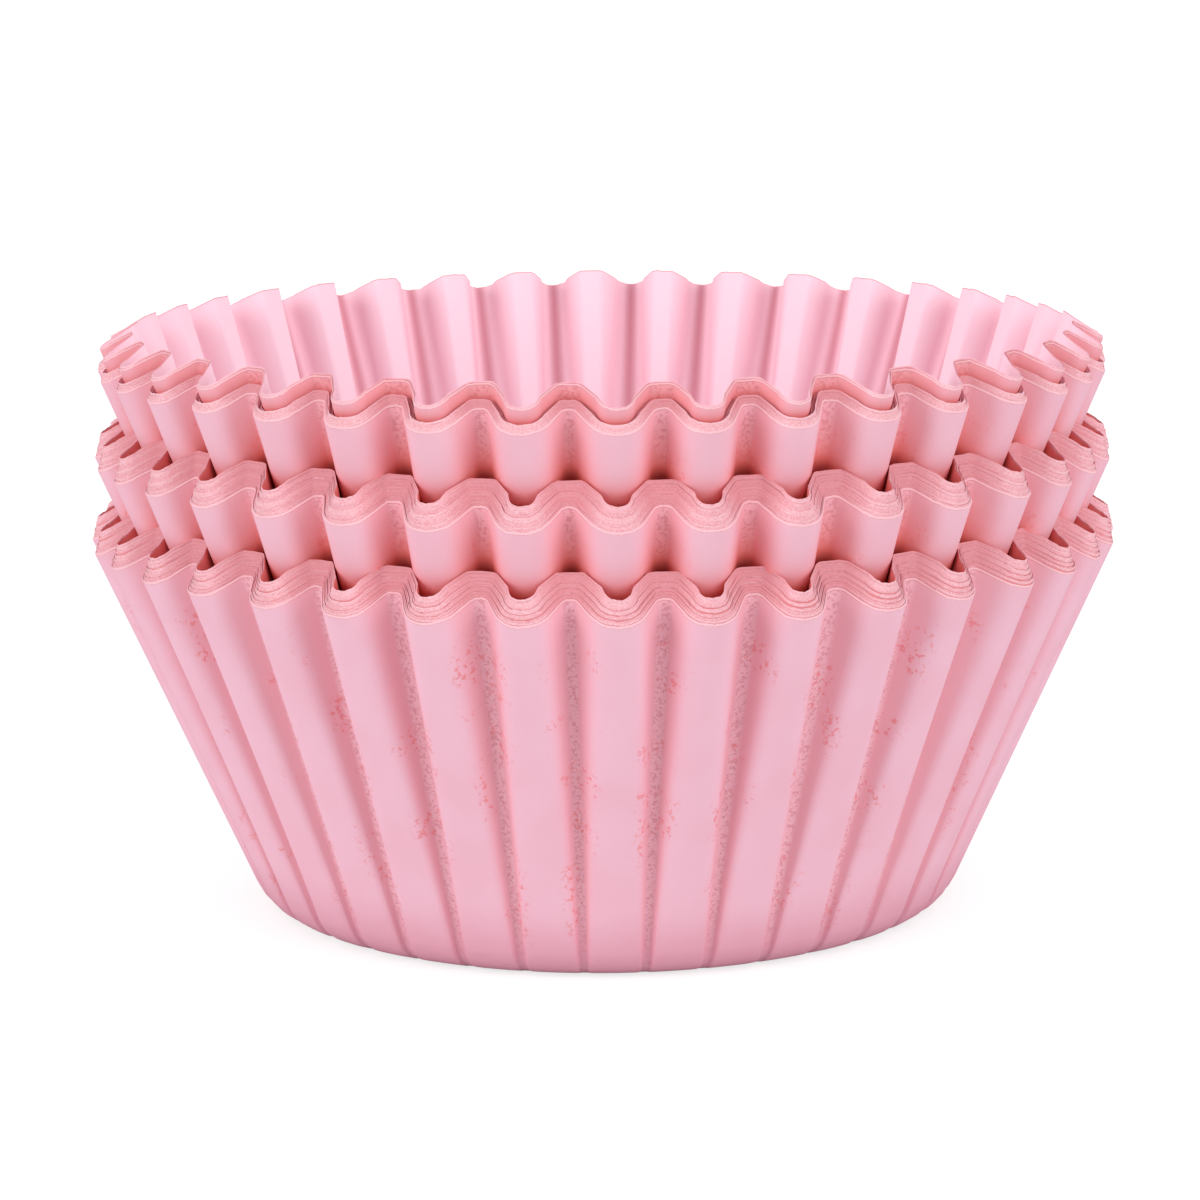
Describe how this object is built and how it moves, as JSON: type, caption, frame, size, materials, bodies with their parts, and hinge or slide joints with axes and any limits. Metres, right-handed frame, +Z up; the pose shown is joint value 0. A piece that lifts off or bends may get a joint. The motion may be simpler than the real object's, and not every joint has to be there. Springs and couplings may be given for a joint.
{
  "type": "stack of cupcake liners",
  "caption": "Stack of fluted pink paper cupcake liners: pressed packs of thin pleated cups nested one in another, open at the top and standing on a flat round base.",
  "frame": {"origin": "centre of the underside of the lowest liner, where the stack stands", "axes": "+Z up out of the open top; one outward ridge points about one degree to +X of -Y"},
  "size_m": [0.0773, 0.0773, 0.0442],
  "materials": {
    "liner_paper": "matt greaseproof paper, pink right through, worn along the folds"
  },
  "bodies": {
    "root": {"bottom_liner_1": "liner_paper", "bottom_liner_2": "liner_paper", "bottom_liner_3": "liner_paper", "bottom_liner_4": "liner_paper", "bottom_liner_5": "liner_paper", "middle_liner_1": "liner_paper", "middle_liner_2": "liner_paper", "middle_liner_3": "liner_paper", "middle_liner_4": "liner_paper", "middle_liner_5": "liner_paper", "top_outer_liner_1": "liner_paper", "top_outer_liner_2": "liner_paper", "top_outer_liner_3": "liner_paper", "top_inner_liner_1": "liner_paper", "top_inner_liner_2": "liner_paper", "top_inner_liner_3": "liner_paper"}
  },
  "joints": []
}
